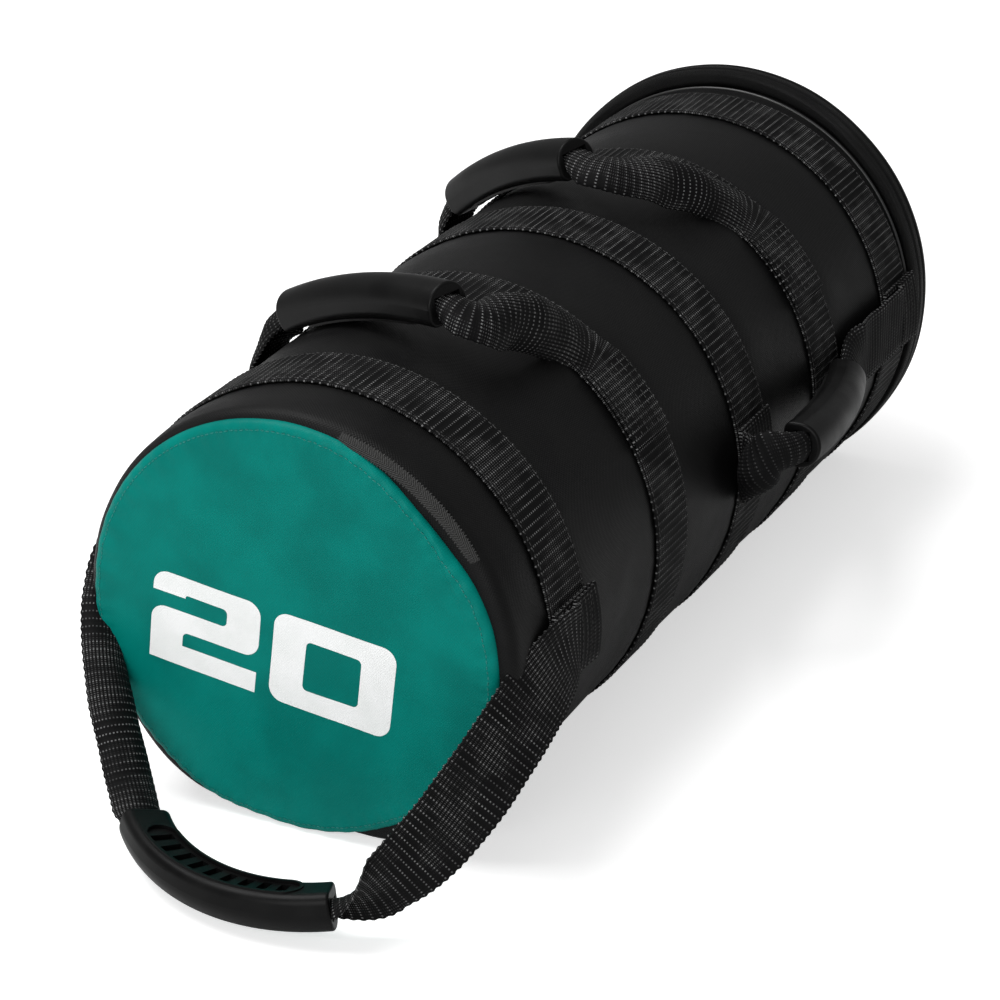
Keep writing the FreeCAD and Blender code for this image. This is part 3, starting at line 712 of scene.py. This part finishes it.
print_white, print_shader, _, print_place = finish_named("print_white", 0.4, 0.4)
print_grain = crossed_threads(print_place.part("X") * 1000, print_place.part("Z") * 1000, TEAL_THREAD_MM)
emboss(print_shader, print_grain, TEAL_RELIEF)
feed(print_shader, "Base Color", print_place.clouds(60, 3.0).within(0.3, 0.7).mix(*PRINT_TONES))

for name, outlines in (("numeral_2", [TWO_OUTLINE]), ("numeral_0", [ZERO_OUTLINE, ZERO_HOLE])):
    mark = numeral(name, outlines)
    lay(mark, turn_marking)
    press_on_panel(mark, PRINT_THICKNESS)
    bpy.ops.object.shade_smooth()
    mark.data.materials.append(print_white)
    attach(mark, "bag")

# Coloured end's seam. One row of stitches in teal thread runs round just inside the edge and
# is pressed into the disc.
RIM_SEAM = 0.0042
RIM_STITCH_LIFT = 0.0002
TEAL_THREAD_TONES = ((0.02, 0.25, 0.21, 1), (0.08, 0.36, 0.32, 1))


def lay_rim_stitch(x, y, z, row):
    edge_x, edge_z = coloured_outline(x - HALF_WAY)
    size = np.hypot(edge_x, edge_z)
    share = (size - RIM_SEAM + y) / size
    return edge_x * share, IN_FRONT_Y - z, AXIS_Z + edge_z * share


teal_thread, teal_thread_shader, _, teal_thread_place = finish_named("teal_thread", 0.6, 0.2)
feed(teal_thread_shader, "Base Color", teal_thread_place.clouds(200).mix(*TEAL_THREAD_TONES))
rim_stitches = stitch_rows(
    "coloured_end_stitches", (2 * HALF_WAY,), lay_rim_stitch, teal_thread)
press_on_panel(rim_stitches, RIM_STITCH_LIFT)
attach(rim_stitches, "bag")

# Binding. Woven herringbone tape is sewn over the seam between the shell and the coloured
# end. It shows at the upper right; elsewhere the shell's corner covers it.
TAPE_WIDTH = 0.0056
TAPE_RIB_PITCH = 0.0018
TAPE_TURN = math.radians(66)
TAPE_SHOWN = (0.026, 0.118)
TAPE_FADES = (0.006, 0.005)
TAPE_SUNK = 0.003
TAPE_RISE = 0.0041
TAPE_WAVES = 0.0002
CHEVRON_MM = 2.4
TAPE_TONES = (grey(0.004), (0.06, 0.06, 0.059, 1))
TAPE_RELIEF = 0.0003


def lay_tape(way, across, out):
    way = way - HALF_WAY
    shown = 1 / (1 + np.exp(-(way - TAPE_SHOWN[0]) / TAPE_FADES[0]))
    shown = shown / (1 + np.exp((way - TAPE_SHOWN[1]) / TAPE_FADES[1]))
    turn = TAPE_TURN + across / NEAR_CORNER
    reach = NEAR_CORNER + out * 0.7 - TAPE_SUNK + TAPE_RISE * shown
    reach = reach + TAPE_WAVES * ripple(way, across, 4, 0.2)
    return on_bag(way, NEAR_END - reach * np.sin(turn), -NEAR_CORNER + reach * np.cos(turn))


binding = webbing("binding", 2 * HALF_WAY, TAPE_RIB_PITCH, lay_tape, closed=True, width=TAPE_WIDTH)
tape_finish, tape_shader, tape_pattern, tape_place = finish_named("herringbone", 0.85, 0.25)
tape_row = tape_pattern.part("Y") / CHEVRON_MM
zigzag = tape_pattern.part("X") * 0.36 + tape_row.maths("PINGPONG", tape_row, 1.0) * CHEVRON_MM
tape_threads = zigzag.wave(1.1).within(0.2, 0.8)
tape_fuzz = tape_place.clouds(1500, 3.0)
feed(tape_shader, "Base Color", (tape_threads * 0.8 + tape_fuzz * 0.3).mix(*TAPE_TONES))
emboss(tape_shader, tape_threads * 0.7 + tape_fuzz * 0.4, TAPE_RELIEF)
done(binding, tape_finish, "edge_binding", "bag", "near_binding")

# Far end. A plain padded disc closes the tube. Round its seam goes a padded collar, quilted
# in three with two rows of sewing, and a thin welt lies in front of the collar.
PLAIN_FACE_Y = 0.2773
COLLAR_MIDDLE = 0.266
COLLAR_HALF = 0.0098
COLLAR_HEIGHT = 0.0074
COLLAR_COLUMNS = 420
COLLAR_ROWS = 60
COLLAR_LIFT = 0.0002
COLLAR_SEAMS = (-0.36, 0.36)
QUILTING = 0.0016
QUILTING_PULLS = 0.0002
COLLAR_SLACK = 0.0003
WELT_MIDDLE = 0.2536
WELT_RADIUS = 0.00095
WELT_LIFT = 0.0001
WELT_TONES = (grey(0.012), grey(0.03))

far_panel = padded_disc("plain_end", plain_outline, PLAIN_FACE_Y, 0.0095, 0.0055, 0.0004)
done(far_panel, vinyl_black, "vinyl_black", "bag", "far_panel")

collar = flat_cloth("collar", 2 * HALF_WAY, 1, COLLAR_COLUMNS, COLLAR_ROWS)


def lay_collar(x, y, z):
    round_way = (y + 0.5) * 2 * math.pi
    aside = -np.cos(round_way)
    high = np.sin(round_way)
    wide = np.sign(aside) * np.abs(aside) ** 0.75
    tall = np.sign(high) * np.abs(high) ** 0.6
    seams = sum(hump(wide, seam, 0.06) for seam in COLLAR_SEAMS)
    turn = x * math.pi / HALF_WAY
    pulls = 0.5 + 0.5 * np.sin(43 * turn + 5 * np.sin(2 * turn))
    thick = COLLAR_HEIGHT * (1 + 0.4 * np.cos(turn) - 0.22 * np.sin(turn))
    out = thick / 2 * (1 + tall) + COLLAR_LIFT
    out = out - np.where(high > 0, QUILTING * seams + QUILTING_PULLS * pulls * seams, 0)
    out = out + np.where(high > 0, COLLAR_SLACK * ripple(x, wide * 0.02, 1.2, 2.2), 0)
    across, along, up = on_bag(x, COLLAR_MIDDLE + wide * COLLAR_HALF, out)
    return across, along + far_lean(across, up), up


lay(collar, lay_collar)
sew(collar, smooth_angle=60)
done(collar, vinyl_black, "vinyl_black", "bag", "far_skirt")

welt = flat_cloth("welt", 2 * HALF_WAY, 1, 300, 12)


def lay_welt(x, y, z):
    turn = (y + 0.5) * 2 * math.pi
    rise = WELT_RADIUS * (1 - np.sin(turn)) + WELT_LIFT
    across, along, up = on_bag(x, WELT_MIDDLE + WELT_RADIUS * np.cos(turn), rise)
    return across, along + far_lean(across, up), up


lay(welt, lay_welt)
sew(welt, smooth_angle=80)
welt_finish, welt_shader, _, welt_place = finish_named("welt_vinyl", 0.33, 0.5)
feed(welt_shader, "Base Color", welt_place.clouds(400).mix(*WELT_TONES))
done(welt, welt_finish, "vinyl_black", "bag", "far_piping")

# Handle straps. Each handle hangs in webbing whose two ends are sewn on the rings. From there
# the strap leaves the bag flat, and folds lengthwise to go into the bore of its grip.
STRAP_RIB_PITCH = 0.0039
ROUTE_STEPS = 401
HEADING_STEP = 0.004
FOLD_TURN = math.radians(140)
FOLD_SETTLES = 0.25
LEAST_FOLD = 0.015
FOLD_PRESS = 0.4


def along_curve(points, t):
    """Places on the smooth curve that the points pull into shape."""
    rows = [np.outer(np.ones_like(t), point) for point in points]
    share = t[:, None]
    while len(rows) > 1:
        rows = [a * (1 - share) + b * share for a, b in zip(rows, rows[1:])]
    return rows[0]


def unit(vectors):
    return vectors / np.linalg.norm(vectors, axis=1)[:, None]


def strap_on_route(name, route_mm, wides, folds, fold_side=1, crumple=0, seed=0):
    """Webbing led along a route. wides says which way its width points at the start, halfway
    and at the end. folds says from where to where, as shares of its length, it goes from flat
    to folded, and how much it is folded before that."""
    route = np.array(route_mm) / 1000
    steps = np.linspace(0, 1, ROUTE_STEPS)
    line = along_curve(route, steps)
    lengths = np.concatenate([[0], np.cumsum(np.linalg.norm(np.diff(line, axis=0), axis=1))])
    length = lengths[-1]
    fold_start, fold_end, first_fold = folds

    def place(way, across, out):
        t = np.interp(way, lengths, steps)
        centre = along_curve(route, t)
        ahead = along_curve(route, np.clip(t + HEADING_STEP, 0, 1))
        behind = along_curve(route, np.clip(t - HEADING_STEP, 0, 1))
        heading = unit(ahead - behind)
        share = way / length
        wide = along_curve(np.array(wides), share)
        wide = unit(wide - heading * np.sum(wide * heading, axis=1)[:, None])
        through = np.cross(heading, wide)
        fold = np.clip((share - fold_start) / (fold_end - fold_start), 0, 1)
        fold = np.maximum(first_fold * np.clip(share / FOLD_SETTLES, 0, 1), fold)
        fold = np.maximum(fold, LEAST_FOLD)
        rate = fold * FOLD_TURN / (WEBBING_WIDTH / 2)
        turn = rate * across
        press = 1 - FOLD_PRESS * fold
        side = np.sin(turn) / rate - out * np.sin(turn) * fold_side
        rise = (1 - np.cos(turn)) / rate
        middle = (1 - np.cos(rate * WEBBING_WIDTH / 2)) / rate / 2
        loose = crumple * ripple(way * 2.2, across * 1.5, 1.0, seed) * np.clip(4 * share * (1 - share), 0, 1)
        rise = (rise - middle * fold) * press * fold_side + out * np.cos(turn) * (0.5 + 0.5 * press) + loose
        return (centre + wide * side[:, None] + through * rise[:, None]).T

    return webbing(name, length, STRAP_RIB_PITCH, place)


def handle_strap(name, node, finish, route_mm, wides, folds, fold_side, crumple, seed):
    """A strap that runs from the bag at its first point to the mouth of the grip and curves
    between them. It is hung on no body."""
    strap = strap_on_route(name, route_mm, wides, folds, fold_side, crumple, seed)
    done(strap, finish, "webbing", None, node)
    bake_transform(strap)


# Strap ends. Past its stitches a strap's end turns back over the ring, with its plainer side
# up, and four short rows of stitches hold both layers.
TAB_LOW = 0.0037
TAB_HIGH = 0.0062
TAB_CURL = 0.0012
TAB_CURL_REACH = 0.012
TAB_ROWS = (0.032,) * 4
TAB_ROWS_START = (-0.0155, 0.003)
TAB_ROW_GAP = 0.0055


def strap_end(name, turn, under_y, fold_y, over_y, node):
    """A strap end that lies on its ring, folds over beyond the ring's edge and comes back."""
    bend = (TAB_HIGH - TAB_LOW) / 2
    turn_y = fold_y - bend - WEBBING_THICKNESS / 2
    under = turn_y - under_y
    over = turn_y - over_y
    half_turn = math.pi * bend
    way_round = math.radians(turn) * SHELL_RADIUS

    def place(way, across, out):
        angle = np.clip((way - under) / bend, 0, math.pi)
        along = np.where(way < under, under_y + way, turn_y - np.maximum(way - under - half_turn, 0))
        along = along + (bend - out) * np.sin(angle)
        rise = (TAB_LOW + TAB_HIGH) / 2 - (bend - out) * np.cos(angle)
        near_fold = np.clip((along - turn_y + TAB_CURL_REACH) / TAB_CURL_REACH, 0, 1)
        curl = TAB_CURL * near_fold * np.sin(across * 60 + 1)
        return on_bag(way_round + across, along, rise + np.maximum(curl, 0))

    def place_stitch(x, y, z, row):
        along = over_y + TAB_ROWS_START[1] + TAB_ROW_GAP * row + y
        return on_bag(way_round + x + TAB_ROWS_START[0], along, z + TAB_HIGH + WEBBING_THICKNESS / 2)

    tab = webbing(name, under + half_turn + over, STRAP_RIB_PITCH, place)
    done(tab, webbing_plain, "webbing", "bag", node)
    rows = stitch_rows(name + "_stitches", TAB_ROWS, place_stitch, thread_grey)
    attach(rows, "bag")


# Front handle. Its grip lies on the floor in front of the coloured end, finger slots up, and
# its straps go back to both sides of the first ring.
ALONG = (0, 1, 0)
UP = (0, 0, 1)
FRONT_BORE_WIDE = (-0.204, -0.96, 0.191)
FRONT_TAB_TURN = 88.6
FRONT_CRUMPLE = 0.0009

handle_strap(
    "front_strap_left", "front_leg_left", webbing_black,
    ((-123.6, -217.8, 107.5), (-120.0, -288.8, 107.5), (-65.6, -309.4, 25.2), (-50.3, -336.3, 16.8)),
    wides=(UP, (-0.8, -0.36, 0.5), FRONT_BORE_WIDE), folds=(0.8, 1.0, 0.6),
    fold_side=1, crumple=FRONT_CRUMPLE, seed=0.7)
handle_strap(
    "front_strap_right", "front_leg_right", webbing_black,
    ((123.6, -217.8, 107.5), (128.6, -297.8, 107.5), (108.0, -337.0, 24.9), (58.5, -359.5, 16.8)),
    wides=(UP, (-1.5, -0.18, 1.1), FRONT_BORE_WIDE), folds=(0.82, 1.0, 0.0),
    fold_side=-1, crumple=FRONT_CRUMPLE, seed=0.7)
for side, word in ((-1, "left"), (1, "right")):
    strap_end(
        "front_tab_" + word, side * FRONT_TAB_TURN, -0.2365, -0.1935, -0.2178, "front_anchor_" + word)

# Top handles. Their straps are sewn along the second and the fourth ring, and lift off them
# to carry the grips, which lie over towards the coloured end.
BASE_ARC = 0.0425
BASE_GAP = 0.0003
BASE_LIFT = 0.0037
BASE_ROWS = (0.038,) * 6
BASE_ROWS_START = (0.003, -0.0165)
BASE_ROW_GAP = 0.0066
LEFT_FOLDS = (0.35, 0.93, 0.0)
RIGHT_FOLDS = (0.78, 0.96, 0.55)
TOP_CRUMPLE = 0.0026
TOP_NEAR_WIDE = (0.368, 0.927, 0.071)
TOP_FAR_WIDE = (0.429, 0.883, 0.191)


def top_strap(handle, word, ring_place, bore_wide, route_mm):
    """A top handle's strap on one side, and the end of it that is sewn along the ring."""
    side = 1 if word == "right" else -1
    handle_strap(
        "%s_strap_%s" % (handle, word), "%s_leg_%s" % (handle, word),
        webbing_black, route_mm, (ALONG, ALONG, bore_wide), RIGHT_FOLDS if side > 0 else LEFT_FOLDS,
        fold_side=side, crumple=TOP_CRUMPLE, seed=1.3 * side)
    lift_off = Vector(route_mm[0]) / 1000
    lift_way = math.atan2(lift_off.x, lift_off.z - AXIS_Z) * SHELL_RADIUS

    def place(way, across, out):
        return on_bag(lift_way + side * (way + BASE_GAP), ring_place - side * across, out + BASE_LIFT)

    def place_stitch(x, y, z, row):
        along = ring_place + BASE_ROWS_START[1] + BASE_ROW_GAP * row + y
        way = lift_way + side * (BASE_ROWS_START[0] + x)
        return on_bag(way, along, z + BASE_LIFT + WEBBING_THICKNESS / 2)

    name = "%s_sewn_%s" % (handle, word)
    base = webbing(name, BASE_ARC, STRAP_RIB_PITCH, place)
    done(base, webbing_black, "webbing", "bag", "%s_base_%s" % (handle, word))
    rows = stitch_rows(name + "_stitches", BASE_ROWS, place_stitch, thread_grey)
    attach(rows, "bag")


top_strap(
    "top_near", "left", RING_PLACES[1], TOP_NEAR_WIDE,
    ((-119.3, -95.2, 125.5), (-114.5, -95.2, 151.0), (-113.0, -112.8, 188.0), (-74.6, -129.9, 212.4)))
top_strap(
    "top_near", "right", RING_PLACES[1], TOP_NEAR_WIDE,
    ((79.4, -95.2, 195.9), (48.0, -95.2, 221.0), (80.0, -190.6, 245.0), (26.9, -173.0, 248.6)))
top_strap(
    "top_far", "left", RING_PLACES[3], TOP_FAR_WIDE,
    ((-119.3, 118.0, 125.5), (-115.2, 118.0, 148.3), (-122.0, 118.6, 172.5), (-96.4, 100.9, 196.4)))
top_strap(
    "top_far", "right", RING_PLACES[3], TOP_FAR_WIDE,
    ((79.4, 118.0, 195.9), (44.0, 118.0, 226.0), (48.0, 16.4, 252.0), (-7.2, 46.7, 247.1)))

# Side handle. Its strap runs along the bag from the third to the fifth ring, so that the grip
# lies lengthwise beside the bag.
SIDE_TURN = 86.3
SIDE_BORE_WIDE = (-0.02, 0.114, 0.993)

handle_strap(
    "side_strap_far", "side_leg_far", webbing_plain,
    ((123.3, 228.2, 112.5), (124.5, 194.2, 112.5), (119.0, 151.4, 112.1), (134.3, 109.9, 117.3)),
    wides=(UP, UP, SIDE_BORE_WIDE), folds=(0.55, 0.92, 0.0), fold_side=1, crumple=0.0011, seed=0.3)
handle_strap(
    "side_strap_near", "side_leg_near", webbing_plain,
    ((120.8, -6.8, 112.3), (121.8, -28.8, 112.3), (154.6, -45.6, 135.5), (154.5, -3.9, 130.6)),
    wides=(UP, (0.45, -0.35, 0.8), SIDE_BORE_WIDE), folds=(0.3, 0.9, 0.6),
    fold_side=-1, crumple=0.0045, seed=2.1)
strap_end("side_tab_far", SIDE_TURN, 0.2095, 0.2525, 0.2282, "side_anchor_far")


def lay_patch(way, across, out):
    way_round = math.radians(SIDE_TURN) * SHELL_RADIUS
    return on_bag(way_round + across, RING_PLACES[2] - WEBBING_WIDTH / 2 + way, out + BASE_LIFT)


side_patch = webbing("side_patch_near", WEBBING_WIDTH, STRAP_RIB_PITCH, lay_patch)
done(side_patch, webbing_plain, "webbing", "bag", "side_anchor_near")

# Grips. Each is moulded in one piece from black rubber, and its satin skin has a fine even
# grain and a slightly uneven sheen. A folded strap runs through its bore.
RUBBER_TONES = ((0.0025, 0.0025, 0.0026, 1), grey(0.005))
RUBBER_RELIEF = 0.00003
FOLDED_ALL_ALONG = (-1, -0.5, 0)

rubber, rubber_shader, _, rubber_place = finish_named("grip_rubber", 0.4, 0.11)
rubber_wear = rubber_place.clouds(45, 3.0)
emboss(rubber_shader, rubber_place.clouds(2600), RUBBER_RELIEF)
feed(rubber_shader, "Base Color", rubber_wear.within(0.3, 0.75).mix(*RUBBER_TONES))
feed(rubber_shader, "Roughness", rubber_wear.within(0.3, 0.7) * 0.1 + 0.33)


def refinish(node, finish):
    """Gives a piece that keeps its CAD shape its own finish."""
    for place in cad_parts[node].material_slots:
        place.material = finish


for handle, route_mm, bore_wide in (
    ("front", ((-50.3, -336.3, 16.8), (-2.3, -378.2, 9.1), (58.5, -359.5, 16.8)), FRONT_BORE_WIDE),
    ("top_near", ((-74.6, -129.9, 212.4), (-27.1, -150.9, 240.2), (26.9, -173.0, 248.6)), TOP_NEAR_WIDE),
    ("top_far", ((-96.4, 100.9, 196.4), (-56.6, 74.2, 230.7), (-7.2, 46.7, 247.1)), TOP_FAR_WIDE),
    ("side", ((154.5, -3.9, 130.6), (152.7, 54.5, 124.0), (134.3, 109.9, 117.3)), SIDE_BORE_WIDE),
):
    refinish(handle + "_grip", rubber)
    inner = strap_on_route(handle + "_inner_strap", route_mm, (bore_wide,) * 3, FOLDED_ALL_ALONG)
    done(inner, webbing_black, "webbing", handle + "_handle", handle + "_webbing_core")

# Filling. Closed-cell foam pads the two ends and shapes the bag round a sewn sack of sand.
# None of it shows.
PAD_SHARE = 0.965
PAD_FALL = 0.002
FOAM_TONES = ((0.1, 0.1, 0.11, 1), (0.14, 0.14, 0.15, 1))
SACK_TONES = ((0.3, 0.3, 0.28, 1), (0.4, 0.4, 0.38, 1))
SACK_THREAD_MM = 2.2
SAND_TONES = ((0.4, 0.33, 0.22, 1), (0.6, 0.5, 0.37, 1))

foam, foam_shader, _, foam_place = finish_named("foam", 0.9, 0.3)
foam_cells = foam_place.clouds(700, 3.0)
emboss(foam_shader, foam_cells, 0.0002)
feed(foam_shader, "Base Color", foam_cells.mix(*FOAM_TONES))


def end_pad(name, outline, face_y, depth, node):
    """The foam behind an end's disc."""
    def drawn_in(way):
        return tuple(PAD_SHARE * edge for edge in outline(way))

    pad = padded_disc(name, drawn_in, face_y, depth, PAD_FALL, puckers=0)
    done(pad, foam, "foam", "bag", node)


end_pad("end_pad", coloured_outline, -0.2755, 0.003, "near_panel_foam")
end_pad("plain_end_pad", plain_outline, 0.2752, 0.0035, "far_panel_foam")
for node in ("foam_sleeve", "foam_disc_near", "foam_disc_far"):
    refinish(node, foam)

sack_cloth, sack_shader, _, sack_place = finish_named("sack_cloth", 0.8, 0.3)
sack_warp = (sack_place.part("X") * 1000).wave(SACK_THREAD_MM)
sack_weft = (sack_place.part("Y") * 1000).wave(SACK_THREAD_MM)
sack_weave = sack_warp * 0.5 + sack_weft * 0.5
emboss(sack_shader, sack_weave, 0.0002)
feed(sack_shader, "Base Color", sack_weave.mix(*SACK_TONES))
refinish("inner_sack", sack_cloth)

sand, sand_shader, _, sand_place = finish_named("sand", 0.95, 0.2)
sand_grains = sand_place.clouds(1800, 4.0)
emboss(sand_shader, sand_grains, 0.0004)
feed(sand_shader, "Base Color", sand_grains.mix(*SAND_TONES))
refinish("sand_fill", sand)
